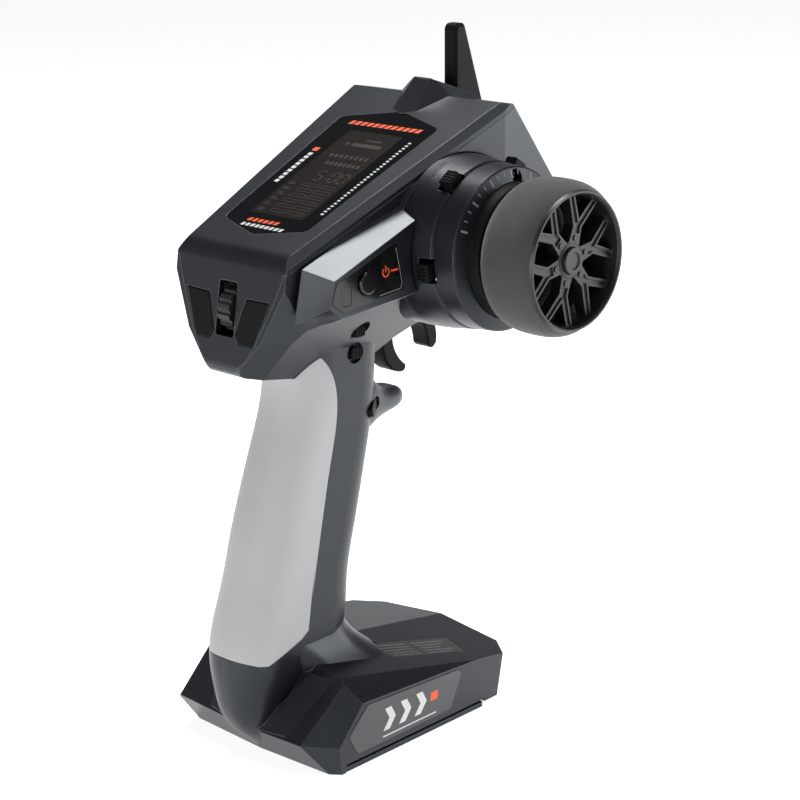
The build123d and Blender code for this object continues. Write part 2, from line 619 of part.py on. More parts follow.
# ---------------------------------------------------------------- steering wheel and its shaft
with BuildPart() as steering_shaft:
    add(stepped([(24.0, 0.0), (24.0, 3.0), (44.0, 3.0), (44.0, SHAFT_R), (90.0, SHAFT_R), (90.0, 0.0)]))
finish(steering_shaft.part, "steering_shaft")
with BuildPart() as steering_bearings:
    for x in (47.0, 62.0):
        add(rod((HUB_Y, HUB_Z), BEARING_R - 0.02, x, x + 4.0, SHAFT_R + 0.03))
finish(steering_bearings.part, "steering_bearings")
finish(rod((HUB_Y, HUB_Z), BEARING_R + 1.8, 58.0, 69.6, BEARING_R), "bearing_sleeve")


def spoke_outline(inset=0.0):
    """One forked spoke, drawn from the hub outward along its own x."""
    with BuildSketch() as fork:
        with BuildLine():
            Polyline((5.5, -3.1), (13.0, -2.5), (24.4, -9.3), (24.4, -5.5), (15.8, 0.0),
                     (24.4, 5.5), (24.4, 9.3), (13.0, 2.5), (5.5, 3.1), close=True)
        make_face()
        if inset:
            offset(amount=-inset, kind=Kind.INTERSECTION)
    return fork.sketch


STEERING_AXIS = Axis((0, HUB_Y, HUB_Z), (1, 0, 0))
RIM_X0, RIM_X1 = 73.6, 98.8
SPOKES = 6
SPOKE_START = 12.0
SPOKE_X, SPOKE_THICK = 90.5, 4.6    # back of the spokes and their depth
CHANNEL_DEPTH, CHANNEL_EDGE = 0.8, 0.9
with BuildPart() as wheel_rim:
    add(stepped([(RIM_X0, 25.9), (RIM_X0, 24.2), (86.0, 23.6), (RIM_X1 - 1.2, 24.9), (RIM_X1, 25.6),
                 (RIM_X1, RIM_R), (RIM_X1 - 1.4, RIM_R + 0.5), (RIM_X1 - 2.0, 25.9)]))
    add(stepped([(84.0, 7.2), (84.0, SHAFT_R), (95.5, SHAFT_R), (95.5, 6.2), (95.0, 7.2)]))
    with BuildSketch(SIDE.offset(SPOKE_X)):
        with Locations((HUB_Y, HUB_Z)):
            with PolarLocations(0, SPOKES, start_angle=SPOKE_START):
                add(spoke_outline())
    extrude(amount=SPOKE_THICK)
    # A shallow channel along the face of every spoke leaves a raised edge.
    with BuildSketch(SIDE.offset(SPOKE_X + SPOKE_THICK - CHANNEL_DEPTH)):
        with Locations((HUB_Y, HUB_Z)):
            with PolarLocations(0, SPOKES, start_angle=SPOKE_START):
                add(spoke_outline(CHANNEL_EDGE))
            Circle(10.4, mode=Mode.SUBTRACT)
    extrude(amount=3.0, mode=Mode.SUBTRACT)
finish(wheel_rim.part, "wheel_rim")

with BuildPart() as foam_tyre:
    with BuildSketch(Plane(origin=(0, HUB_Y, HUB_Z), x_dir=(1, 0, 0), z_dir=(0, -1, 0))):
        with BuildLine():
            Polyline((TYRE_X0 + 1.0, 26.2), (RIM_X0, 25.9), (RIM_X1 - 2.1, 25.9),
                     (RIM_X1 - 1.6, 26.9), (TYRE_X1 - 0.6, 27.6))
            Spline((TYRE_X1 - 0.6, 27.6), (TYRE_X1 - 4.0, 29.2), ((TYRE_X0 + TYRE_X1) / 2, TYRE_R),
                   (TYRE_X0 + 4.5, 29.0), (TYRE_X0 + 1.0, 26.9), tangents=[(-0.6, 0.8), (-0.4, -1)])
            Line((TYRE_X0 + 1.0, 26.9), (TYRE_X0 + 1.0, 26.2))
        make_face()
    revolve(axis=STEERING_AXIS)
finish(foam_tyre.part, "foam_tyre")
with BuildPart() as wheel_cap:
    add(stepped([(95.6, 0.0), (95.6, 5.4), (96.9, 5.0), (96.9, 3.4), (96.3, 3.2), (96.3, 0.0)]))
finish(wheel_cap.part, "wheel_cap")
with BuildPart() as wheel_nut:
    with BuildSketch(SIDE.offset(90.2)):
        with Locations((HUB_Y, HUB_Z)):
            RegularPolygon(3.6, 6)
    extrude(amount=4.4)
finish(wheel_nut.part, "wheel_nut")
with BuildPart() as wheel_bolts:
    for bolt in range(SPOKES):
        spot = polar(SPOKE_START + 60.0 * bolt, 8.6)
        add(rod(spot, 1.15, SPOKE_X + 4.62, SPOKE_X + 5.1))
finish(wheel_bolts.part, "wheel_bolts")

# Torsion spring that centres the wheel, and the sensor that reads the shaft's angle.
with BuildPart() as centring_spring:
    for turn in range(5):
        with BuildSketch(Plane(origin=(34.0 + 1.7 * turn, HUB_Y, HUB_Z + 7.0), z_dir=(0, 1, 0))):
            Circle(0.7)
        revolve(axis=STEERING_AXIS)
finish(centring_spring.part, "centring_spring")
finish(block(SIDE, (HUB_Y, HUB_Z, 20.2), (17.0, 19.0, 7.0), 1.5), "steering_sensor")

# ---------------------------------------------------------------- trigger
TRIGGER_HALF, TRIGGER_HUB_HALF, TRIGGER_HUB_R = 4.7, 6.6, 6.6
with BuildPart() as trigger:
    with BuildSketch(SIDE.offset(-TRIGGER_HALF)):
        with BuildLine():
            Spline((29.4, 178.0), (23.4, 165.5), (20.0, 153.2), (23.0, 145.0), (30.2, 140.6))
            Spline((30.2, 140.6), (33.0, 140.9), (33.6, 143.2))
            Spline((33.6, 143.2), (28.2, 149.2), (26.4, 156.4), (29.4, 163.4), (36.0, 164.8),
                   (43.0, 159.8), (46.0, 154.0), (47.0, 148.6))
            Spline((47.0, 148.6), (49.8, 146.8), (52.2, 148.6))
            Spline((52.2, 148.6), (52.0, 155.4), (49.0, 161.6), (44.6, 167.0), (41.2, 178.0))
            Line((41.2, 178.0), (29.4, 178.0))
        make_face()
    extrude(amount=2 * TRIGGER_HALF)
    chamfer(trigger.faces().sort_by(Axis.X)[0].edges() + trigger.faces().sort_by(Axis.X)[-1].edges(),
            0.7)
    add(rod((TRIGGER_Y, TRIGGER_Z), TRIGGER_HUB_R, -TRIGGER_HUB_HALF, TRIGGER_HUB_HALF))
    add(rod((TRIGGER_Y, TRIGGER_Z), 2.05, -10.0, 10.0), mode=Mode.SUBTRACT)
finish(trigger.part, "trigger")
finish(rod((TRIGGER_Y, TRIGGER_Z), 2.0, -11.4, 11.4), "trigger_axle")
with BuildPart() as trigger_bracket:
    for x in (-11.2, 8.9):
        with BuildSketch(SIDE.offset(x)):
            with Locations((TRIGGER_Y, TRIGGER_Z + 3.5)):
                Rectangle(20.0, 17.0)
            with Locations((TRIGGER_Y, TRIGGER_Z)):
                Circle(2.0, mode=Mode.SUBTRACT)
        extrude(amount=2.3)
    with BuildSketch(Plane.XY.offset(TRIGGER_Z + 12.0)):
        with Locations((0, TRIGGER_Y)):
            Rectangle(22.4, 20.0)
    extrude(amount=2.0)
finish(trigger_bracket.part, "trigger_bracket")
finish(rod((TRIGGER_Y, TRIGGER_Z), 5.2, -8.7, -7.0, 2.3), "trigger_spring")
finish(block(SIDE, (TRIGGER_Y, TRIGGER_Z + 2.0, -14.4), (15.0, 15.0, 5.6), 1.5), "trigger_sensor")

# ---------------------------------------------------------------- antenna and its cowl
FIN = [(ANTENNA_Y - KNUCKLE_R, ANTENNA_Z), (66.2, 247.0), (66.8, 278.0), (73.4, 278.0),
       (83.2, 247.6), (ANTENNA_Y + KNUCKLE_R, ANTENNA_Z)]
with BuildPart() as antenna:
    with BuildSketch(SIDE.offset(-3.6)) as fin_face:
        with BuildLine():
            Polyline(*FIN, close=True)
        make_face()
        fillet(fin_face.vertices().group_by(Axis.Y)[-1], 2.6)
    extrude(amount=7.2)
    chamfer(antenna.edges().filter_by(lambda e: abs(abs(e.center().X) - 3.6) < 0.01
                                      and e.center().Z > 250), 1.4)
    add(rod((ANTENNA_Y, ANTENNA_Z), KNUCKLE_R, -3.6, 3.6))
    add(rod((ANTENNA_Y, ANTENNA_Z), 1.55, -9, 9), mode=Mode.SUBTRACT)
finish(antenna.part, "antenna")
finish(rod((ANTENNA_Y, ANTENNA_Z), 1.5, -7.4, 7.4), "antenna_pin")
with BuildPart() as antenna_mount:
    for x in (-7.6, 3.9):
        with BuildSketch(SIDE.offset(x)):
            with BuildLine():
                Polyline((ANTENNA_Y - 9.0, 247.4), (ANTENNA_Y - 9.0, 236.0), (ANTENNA_Y + 6.0, 224.0),
                         (ANTENNA_Y + 6.0, 240.0), (ANTENNA_Y, 246.4), close=True)
            make_face()
            with Locations((ANTENNA_Y, ANTENNA_Z)):
                Circle(1.5, mode=Mode.SUBTRACT)
        extrude(amount=3.7)
    add(head_block(-0.02), mode=Mode.SUBTRACT)
finish(antenna_mount.part, "antenna_mount")

# The cowl rises from the front edge of the window and widens forward: outlines on the
# display face's own axes at two heights over it.
COWL_ROOT = (-9.0, [(0.0, 17.4), (9.4, 24.4), (24.4, 54.7), (24.4, 80.0)])
COWL_CREST = (6.6, [(0.0, 56.8), (4.0, 57.2), (5.0, 59.6), (5.0, 80.0)])
# Its side outline: the crest, the front, and generous bounds elsewhere, as (y, z).
COWL_SIDE = [(0.0, 200.0), (0.0, 300.0), (51.6, 257.6), (61.5, 252.2), (62.5, 200.0)]
with BuildPart() as antenna_cowl:
    for height, outline in (COWL_ROOT, COWL_CREST):
        with BuildSketch(TOP.offset(height)):
            with BuildLine():
                Polyline(*mirrored(outline), close=True)
            make_face()
    loft(ruled=True)
    add(slab(SIDE, COWL_SIDE, -40, 40), mode=Mode.INTERSECT)
    add(head_block(-0.02), mode=Mode.SUBTRACT)
finish(antenna_cowl.part, "antenna_cowl")
finish(block(TOP, (0, 44.0, -16.0), (26.0, 14.0, 5.0), 1.0), "radio_module")
finish(rod((2.0, 203.0), 11.0, -32.6, -27.8), "speaker")

# ---------------------------------------------------------------- base: tray, door, batteries
DOOR_HALF = 30.0
with BuildPart() as base_tray:
    add(block(Plane.XY, (0, (TRAY_Y0 + TRAY_Y1) / 2, 1.0), (82.8, TRAY_Y1 - TRAY_Y0, 2.0), 1.0))
    add(block(Plane.XY, (0, (TRAY_Y0 + 35.6) / 2, 2.8), (77.6, 35.6 - TRAY_Y0 - 1.0, 1.7), 1.0))
    add(block(Plane.XY, (0, 7.8, 1.5), (2 * DOOR_HALF + 0.5, 87.6, 6.0)), mode=Mode.SUBTRACT)
finish(base_tray.part, "base_tray")
with BuildPart() as battery_door:
    add(block(Plane.XY, (0, 1.0, 0.95), (2 * DOOR_HALF, 73.6, 1.9)))
    with Locations(*[Pos(0, 24.0 + 2.4 * i, 0) for i in range(5)]):
        Box(24.0, 1.0, 0.9, mode=Mode.SUBTRACT)
finish(battery_door.part, "battery_door")

CELL_R, CELL_LENGTH, CELL_Z, CELL_PITCH = 7.1, 50.0, 10.4, 14.6
with BuildPart() as battery_holder:
    add(block(Plane.XY, (0, -1.5, 10.6), (60.2, 58.0, 15.4), 1.5))
    for cell in range(4):
        with BuildSketch(Plane(origin=((cell - 1.5) * CELL_PITCH, 25.6, CELL_Z), z_dir=(0, -1, 0))):
            Circle(CELL_R + 0.15)
            with Locations((0, 5 - CELL_Z / 2)):
                Rectangle(2 * CELL_R - 1.5, CELL_Z + 2)
        extrude(amount=54.2, mode=Mode.SUBTRACT)
finish(battery_holder.part, "battery_holder")
with BuildPart() as aa_cells:
    for cell in range(4):
        turn = -1 if cell % 2 else 1
        foot = -1.5 - turn * CELL_LENGTH / 2
        with BuildSketch(Plane(origin=((cell - 1.5) * CELL_PITCH, foot, CELL_Z), z_dir=(0, turn, 0))):
            Circle(CELL_R)
        extrude(amount=CELL_LENGTH - 1.2)
        with BuildSketch(Plane(origin=((cell - 1.5) * CELL_PITCH, foot, CELL_Z), z_dir=(0, turn, 0))):
            Circle(2.6)
        extrude(amount=CELL_LENGTH)
finish(aa_cells.part, "aa_cells")
with BuildPart() as battery_contacts:
    for cell in range(4):
        for end in (-1, 1):
            centre = ((cell - 1.5) * CELL_PITCH, -1.5 + end * 26.3, CELL_Z)
            with Locations(centre):
                Box(9.0, 0.5, 9.0)
finish(battery_contacts.part, "battery_contacts")

# ---------------------------------------------------------------- casing screws
with BuildPart() as casing_screws:
    for y, z, half in SCREWS:
        add(rod((y, z), 2.4, 1.35 - half, 2.9 - half))
        add(rod((y, z), 1.2, 2.9 - half, 8.5))
        with BuildSketch(SIDE.offset(1.3 - half)):
            with Locations((y, z)):
                Rectangle(3.0, 0.7)
                Rectangle(0.7, 3.0)
        extrude(amount=1.0, mode=Mode.SUBTRACT)
finish(casing_screws.part, "casing_screws")
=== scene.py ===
"""Looks of the pistol-grip radio transmitter: materials, foam tyre, display graphics,
marks, light and camera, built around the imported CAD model.  Metres throughout."""

import json
from math import cos, pi, radians, sin

import bmesh
import bpy
from mathutils import Matrix, Vector


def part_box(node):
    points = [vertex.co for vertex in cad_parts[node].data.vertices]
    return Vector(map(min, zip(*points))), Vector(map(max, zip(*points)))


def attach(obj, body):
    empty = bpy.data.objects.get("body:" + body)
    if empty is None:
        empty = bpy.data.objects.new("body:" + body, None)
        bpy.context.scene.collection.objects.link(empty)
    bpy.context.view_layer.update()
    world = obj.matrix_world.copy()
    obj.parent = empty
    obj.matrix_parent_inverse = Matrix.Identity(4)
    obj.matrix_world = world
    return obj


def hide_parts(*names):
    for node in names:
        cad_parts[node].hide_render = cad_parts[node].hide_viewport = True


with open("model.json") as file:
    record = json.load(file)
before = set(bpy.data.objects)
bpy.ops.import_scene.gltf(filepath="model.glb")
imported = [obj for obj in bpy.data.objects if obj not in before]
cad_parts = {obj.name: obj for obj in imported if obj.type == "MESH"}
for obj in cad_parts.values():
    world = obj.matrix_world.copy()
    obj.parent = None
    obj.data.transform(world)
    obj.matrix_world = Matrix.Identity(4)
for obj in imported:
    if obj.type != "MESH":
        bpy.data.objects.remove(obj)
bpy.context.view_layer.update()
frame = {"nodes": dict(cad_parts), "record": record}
NODES = frame["nodes"]
MM = 0.001
FLOOR_REACH = 40.0                     # half the width of the table, metres


def shape(name, form, paint):
    """Object in the scene made from a bmesh, which is used up, with one material."""
    mesh = bpy.data.meshes.new(name)
    form.to_mesh(mesh)
    form.free()
    mesh.materials.append(paint)
    thing = bpy.data.objects.new(name, mesh)
    bpy.context.scene.collection.objects.link(thing)
    return thing


# ------------------------------------------------------------------ camera and light
def make_camera():
    """Camera at the reference view: above, to the right of and behind the user's side."""
    azimuth, elevation, roll = radians(43.83), radians(16.82), radians(-1.07)
    distance = 821 * MM
    target = Vector((31.5, 3.5, 140.4)) * MM
    back = Vector((sin(azimuth) * cos(elevation), -cos(azimuth) * cos(elevation), sin(elevation)))
    data = bpy.data.cameras.new("camera")
    data.lens = 94.3
    data.sensor_width = 36.0
    data.shift_x = -0.0044
    data.shift_y = -0.0011
    data.clip_start, data.clip_end = 0.05, 20.0
    camera = bpy.data.objects.new("camera", data)
    camera.location = target + back * distance
    turn = (-back).to_track_quat("-Z", "Y").to_matrix().to_4x4()
    camera.rotation_euler = (turn @ Matrix.Rotation(roll, 4, "Z")).to_euler()
    bpy.context.scene.collection.objects.link(camera)
    bpy.context.scene.camera = camera


def softbox(name, place, aim, size, radiance):
    """Rectangular lamp given by how bright its face is, so that its size can be changed alone."""
    data = bpy.data.lights.new(name, "AREA")
    data.shape = "RECTANGLE"
    data.size, data.size_y = size
    data.energy = radiance * pi * size[0] * size[1]
    lamp = bpy.data.objects.new(name, data)
    lamp.location = place
    lamp.rotation_euler = (Vector(aim) - Vector(place)).to_track_quat("-Z", "Y").to_euler()
    bpy.context.scene.collection.objects.link(lamp)


def make_floor():
    """Wide pale table, softly lit through from below so that it reads as white."""
    paint = bpy.data.materials.new("floor_paint")
    paint.use_nodes = True
    shader = paint.node_tree.nodes["Principled BSDF"]
    shader.inputs["Base Color"].default_value = (0.8, 0.8, 0.8, 1)
    shader.inputs["Roughness"].default_value = 0.9
    shader.inputs["Emission Color"].default_value = (1.0, 1.0, 1.0, 1)
    shader.inputs["Emission Strength"].default_value = 0.80
    form = bmesh.new()
    bmesh.ops.create_grid(form, x_segments=1, y_segments=1, size=FLOOR_REACH)
    shape("floor", form, paint)


def make_world():
    """Dim room: grey at the horizon, darker overhead."""
    world = bpy.data.worlds.new("studio")
    world.use_nodes = True
    tree = world.node_tree
    place = tree.nodes.new("ShaderNodeTexCoord")
    split = tree.nodes.new("ShaderNodeSeparateXYZ")
    ramp = tree.nodes.new("ShaderNodeValToRGB")
    ramp.color_ramp.elements[0].position = 0.0
    ramp.color_ramp.elements[0].color = (0.55, 0.57, 0.60, 1)
    ramp.color_ramp.elements[1].position = 0.8
    ramp.color_ramp.elements[1].color = (0.10, 0.105, 0.11, 1)
    tree.links.new(place.outputs["Generated"], split.inputs["Vector"])
    tree.links.new(split.outputs["Z"], ramp.inputs["Fac"])
    tree.links.new(ramp.outputs["Color"], tree.nodes["Background"].inputs["Color"])
    tree.nodes["Background"].inputs["Strength"].default_value = 0.75
    bpy.context.scene.world = world


def make_stage():
    make_floor()
    make_world()
    bpy.context.scene.view_settings.view_transform = "Standard"
    middle = (0.0, 0.0, 0.17)
    softbox("overhead", (-0.28, 0.30, 1.25), (0.0, 0.0, 0.2), (0.50, 0.40), 23.0)
    softbox("strip", (0.80, 0.15, 1.15), (0.0, 0.0, 0.2), (0.35, 0.25), 7.0)
    softbox("right", (1.00, 1.05, 0.32), middle, (0.9, 0.8), 5.4)
    softbox("user_side", (0.12, -1.25, 0.28), middle, (0.55, 0.5), 7.6)


# ------------------------------------------------------------------ materials
def node_of(tree, kind, **values):
    node = tree.nodes.new(kind)
    for key, value in values.items():
        setattr(node, key, value)
    return node


def moulded(name, colour, roughness, grain=0.0, grain_size=0.35, edge=0.35, edge_tone=1.6,
            sheen=0.0, specular=0.5, mottle=0.08, metallic=0.0, gleam=(1.0, 1.0, 1.0)):
    """Procedural moulded plastic, rubber or metal.

    grain is the texture's bump in millimetres and grain_size its grain in millimetres;
    edge is the radius in millimetres over which edges are rounded and given a painted highlight,
    edge_tone times the base colour;
    gleam is the colour of its reflections.
    """
    paint = bpy.data.materials.new(name)
    paint.use_nodes = True
    tree = paint.node_tree
    shader = tree.nodes["Principled BSDF"]
    place = node_of(tree, "ShaderNodeTexCoord")
    link = tree.links.new

    cloud = node_of(tree, "ShaderNodeTexNoise")
    cloud.inputs["Scale"].default_value = 55.0
    cloud.inputs["Detail"].default_value = 4.0
    link(place.outputs["Object"], cloud.inputs["Vector"])
    tone = node_of(tree, "ShaderNodeValToRGB")
    low = [channel * (1 - mottle) for channel in colour]
    high = [min(1.0, channel * (1 + mottle)) for channel in colour]
    tone.color_ramp.elements[0].position = 0.3
    tone.color_ramp.elements[1].position = 0.7
    tone.color_ramp.elements[0].color = (*low, 1)
    tone.color_ramp.elements[1].color = (*high, 1)
    link(cloud.outputs["Fac"], tone.inputs["Fac"])

    # Rounded normal, and a mask that is 1 where it leaves the true normal: at the edges, where the base
    # colour gets a painted highlight.
    rounded = node_of(tree, "ShaderNodeBevel", samples=6)
    rounded.inputs["Radius"].default_value = max(edge, 0.01) * MM
    true = node_of(tree, "ShaderNodeNewGeometry")
    along = node_of(tree, "ShaderNodeVectorMath", operation="DOT_PRODUCT")
    link(rounded.outputs["Normal"], along.inputs[0])
    link(true.outputs["Normal"], along.inputs[1])
    mask = node_of(tree, "ShaderNodeMapRange")
    mask.inputs["From Min"].default_value = 1.0
    mask.inputs["From Max"].default_value = 0.86
    link(along.outputs["Value"], mask.inputs["Value"])
    # Painted highlight: along the edges the base colour is lightened edge_tone times.
    painted_edge_highlight = node_of(tree, "ShaderNodeMix", data_type="RGBA", blend_type="MIX")
    painted_edge_highlight.inputs["B"].default_value = (*[min(1.0, c * edge_tone + 0.004) for c in colour], 1)
    link(mask.outputs["Result"], painted_edge_highlight.inputs["Factor"])
    link(tone.outputs["Color"], painted_edge_highlight.inputs["A"])
    link(painted_edge_highlight.outputs["Result"], shader.inputs["Base Color"])

    gloss = node_of(tree, "ShaderNodeMapRange")
    gloss.inputs["To Min"].default_value = roughness * 0.9
    gloss.inputs["To Max"].default_value = min(1.0, roughness * 1.1)
    link(cloud.outputs["Fac"], gloss.inputs["Value"])
    link(gloss.outputs["Result"], shader.inputs["Roughness"])
    shader.inputs["Metallic"].default_value = metallic
    if sheen:
        shader.inputs["Sheen Weight"].default_value = sheen
        shader.inputs["Sheen Roughness"].default_value = 0.5
    shader.inputs["Specular IOR Level"].default_value = specular
    shader.inputs["Specular Tint"].default_value = (*gleam, 1)

    normal = rounded.outputs["Normal"]
    if grain:
        speck = node_of(tree, "ShaderNodeTexNoise")
        speck.inputs["Scale"].default_value = 1 / (grain_size * MM)
        speck.inputs["Detail"].default_value = 2.0
        link(place.outputs["Object"], speck.inputs["Vector"])
        bump = node_of(tree, "ShaderNodeBump")
        bump.inputs["Strength"].default_value = 1.0
        bump.inputs["Distance"].default_value = grain * MM
        link(speck.outputs["Fac"], bump.inputs["Height"])
        link(normal, bump.inputs["Normal"])
        normal = bump.outputs["Normal"]
    link(normal, shader.inputs["Normal"])
    return paint


COOL = (0.86, 0.94, 1.0)               # faint blue of the dark mouldings' reflections


def make_materials():
    return {
        "casing_plastic": moulded("casing_plastic", (0.0080, 0.0090, 0.0114), 0.35, 0.010, 0.30,
                                  edge=0.45, edge_tone=8.0, specular=0.46, gleam=COOL),
        "cover_plastic": moulded("cover_plastic", (0.0056, 0.0063, 0.0077), 0.37, 0.014, 0.28,
                                 edge=0.45, edge_tone=20.0, specular=0.42, gleam=COOL),
        "housing_plastic": moulded("housing_plastic", (0.0044, 0.0051, 0.0067), 0.35, 0.012, 0.28,
                                   edge=0.4, edge_tone=16.0, specular=0.36, gleam=COOL),
        "dark_plastic": moulded("dark_plastic", (0.0040, 0.0040, 0.0045), 0.48, 0.010, 0.35,
                                edge=0.3, edge_tone=3.0, specular=0.10),
        "grip_rubber": moulded("grip_rubber", (0.385, 0.383, 0.392), 0.62, 0.008, 0.22,
                               edge=0.6, edge_tone=1.0, sheen=0.1, mottle=0.02),
        "foam": moulded("foam", (0.040, 0.0395, 0.0405), 0.92, 0.06, 0.55, edge=0.5, edge_tone=1.0,
                        sheen=0.2, mottle=0.14),
        "rim_plastic": moulded("rim_plastic", (0.0085, 0.0092, 0.0094), 0.40, 0.006, 0.25,
                               edge_tone=6.0, specular=0.42),
        "gloss_black": moulded("gloss_black", (0.0030, 0.0030, 0.0035), 0.12, edge=0.25),
        "display_glass": moulded("display_glass", (0.0012, 0.0012, 0.0016), 0.08, edge=0.25,
                                 edge_tone=20.0, specular=0.2),
        "roller_rubber": moulded("roller_rubber", (0.006, 0.0065, 0.0065), 0.5, 0.01, 0.3,
                                 edge_tone=5.0),
        "badge_film": moulded("badge_film", (0.060, 0.061, 0.064), 0.45, 0.008, 0.3),
        "label_film": moulded("label_film", (0.060, 0.059, 0.056), 0.5, 0.004, 0.3),
        "steel": moulded("steel", (0.45, 0.45, 0.46), 0.32, 0.004, 0.2, metallic=1.0),
        "circuit_board": moulded("circuit_board", (0.02, 0.13, 0.05), 0.4, 0.01, 0.6),
        "lcd": moulded("lcd", (0.03, 0.022, 0.018), 0.2),
        "cell_jacket": moulded("cell_jacket", (0.05, 0.05, 0.07), 0.3),
        "lcd_field": moulded("lcd_field", (0.0075, 0.0038, 0.0032), 0.25, edge=0.01, specular=0.25),
        "lcd_segment": moulded("lcd_segment", (0.042, 0.039, 0.032), 0.3, edge=0.01, specular=0.25),
        "print_white": moulded("print_white", (0.62, 0.62, 0.62), 0.45, edge=0.01, mottle=0.03),
        "grey_print_and_highlight": moulded("grey_print_and_highlight", (0.19, 0.19, 0.195), 0.45, edge=0.01, mottle=0.03),
        "print_orange": moulded("print_orange", (0.78, 0.085, 0.012), 0.45, edge=0.01, mottle=0.03),
    }


def dress_nodes(paints):
    slots = {part["node"]: part["material_slot"] for part in frame["record"]["subparts"]}
    for name, thing in NODES.items():
        thing.data.materials.clear()
        thing.data.materials.append(paints[slots[name]])


# ------------------------------------------------------------------ printed marks
class Face:
    """Flat face of the object with its own axes, all in millimetres."""

    def __init__(self, origin, along, normal):
        self.origin = Vector(origin)
        self.normal = Vector(normal).normalized()
        self.x = (Vector(along) - Vector(along).dot(self.normal) * self.normal).normalized()
        self.y = self.normal.cross(self.x)

    def point(self, x, y, height):
        return (self.origin + self.x * x + self.y * y + self.normal * height) * MM


INK = 0.02                             # thickness of a printed mark
LENS_TOP = -0.25                       # the display window's face under the display plane
SCREEN = Face((0, 0, 229.2), (1, 0, 0), (0, -0.43, 1.0))
POWER_FACE = Face((46.17, 0, 0), (0, 1, 0), (1, 0, 0))
ROOF = Face((0, 2.4, 33.4), (1, 0, 0), Vector((33.0, 53.9, -12.0)).cross(Vector((0, 54.1, -8.8))))
WALL_FOOT = 41.8                       # half width of the base at the table
WALL_LEAN = (45.2 - WALL_FOOT) / 28.0  # how much its side walls lean out as they rise
BADGE_FILM = 0.27                      # badge panels' face, out from the wall
LABEL_FILM = -0.03                     # rating label's face, from the roof's plane


def marks(name, face, height, outlines, paint):
    """Thin printed shapes lying on a face: every outline is a list of (x, y) in millimetres."""
    form = bmesh.new()
    for outline in outlines:
        lower = [form.verts.new(face.point(x, y, height)) for x, y in outline]
        upper = [form.verts.new(face.point(x, y, height + INK)) for x, y in outline]
        form.faces.new(upper)
        form.faces.new(list(reversed(lower)))
        for k in range(len(outline)):
            n = (k + 1) % len(outline)
            form.faces.new((lower[k], lower[n], upper[n], upper[k]))
    bmesh.ops.recalc_face_normals(form, faces=form.faces)
    thing = shape(name, form, PAINTS[paint])
    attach(thing, "frame")


def bar(x0, y0, x1, y1):
    return [(x0, y0), (x1, y0), (x1, y1), (x0, y1)]


def stroke(start, end, width):
    """Straight stroke between two points."""
    (ax, ay), (bx, by) = start, end
    run = ((bx - ax) ** 2 + (by - ay) ** 2) ** 0.5
    nx, ny = -(by - ay) / run * width / 2, (bx - ax) / run * width / 2
    return [(ax + nx, ay + ny), (ax - nx, ay - ny), (bx - nx, by - ny), (bx + nx, by + ny)]


def arc(centre, radius, width, start, end, steps=20):
    """Ring sector given by its middle radius and two angles in degrees, as short quads."""
    def spot(r, k):
        angle = radians(start + (end - start) * k / steps)
        return (centre[0] + r * cos(angle), centre[1] + r * sin(angle))
    pieces = []
    for k in range(steps):
        pieces.append([spot(radius - width / 2, k), spot(radius + width / 2, k),
                       spot(radius + width / 2, k + 1), spot(radius - width / 2, k + 1)])
    return pieces


SEGMENTS = {
    "a": ((0.1, 1.0), (0.9, 1.0)), "b": ((1.0, 0.92), (1.0, 0.56)), "c": ((1.0, 0.44), (1.0, 0.08)),
    "d": ((0.1, 0.0), (0.9, 0.0)), "e": ((0.0, 0.44), (0.0, 0.08)), "f": ((0.0, 0.92), (0.0, 0.56)),
    "g": ((0.1, 0.5), (0.9, 0.5)),
}
DIGITS = {"0": "abcdef", "5": "afgcd"}


def digit(value, x, y, wide, tall, width):
    """Seven-segment digit with its lower left corner at x, y."""
    shapes = []
    for segment in DIGITS[value]:
        (ax, ay), (bx, by) = SEGMENTS[segment]
        shapes.append(stroke((x + ax * wide, y + ay * tall), (x + bx * wide, y + by * tall), width))
    return shapes


